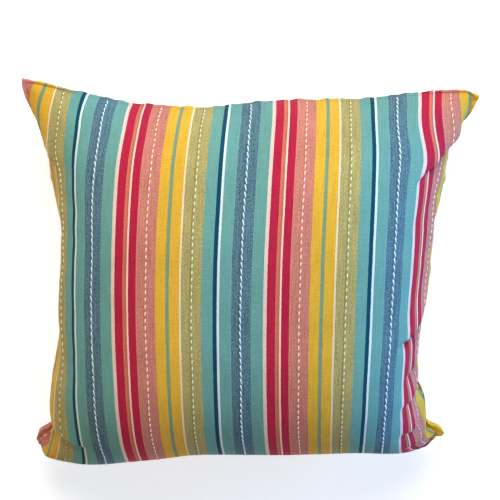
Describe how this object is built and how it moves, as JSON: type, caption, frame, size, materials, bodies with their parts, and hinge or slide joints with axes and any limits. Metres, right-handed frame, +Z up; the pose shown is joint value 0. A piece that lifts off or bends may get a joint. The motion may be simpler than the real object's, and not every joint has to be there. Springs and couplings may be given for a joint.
{
  "type": "striped cushion cover",
  "caption": "Square filled cushion in a striped woven cotton cover, lying on its back, with drawn-in sides, pointed corners, puckers and a hemmed edge.",
  "frame": {"origin": "on the surface the cushion lies on, under the middle of its outline", "axes": "+Z up, off the face; +Y to the hemmed edge, along the stripes; +X across the stripes"},
  "size_m": [0.4342, 0.3818, 0.165],
  "materials": {
    "striped_cotton": "matt woven cotton in stripes of teal, denim blue, navy, cream, red, orange, salmon, yellow and olive, with rows of running and zigzag stitches"
  },
  "bodies": {
    "root": {"cushion": "striped_cotton"}
  },
  "joints": []
}
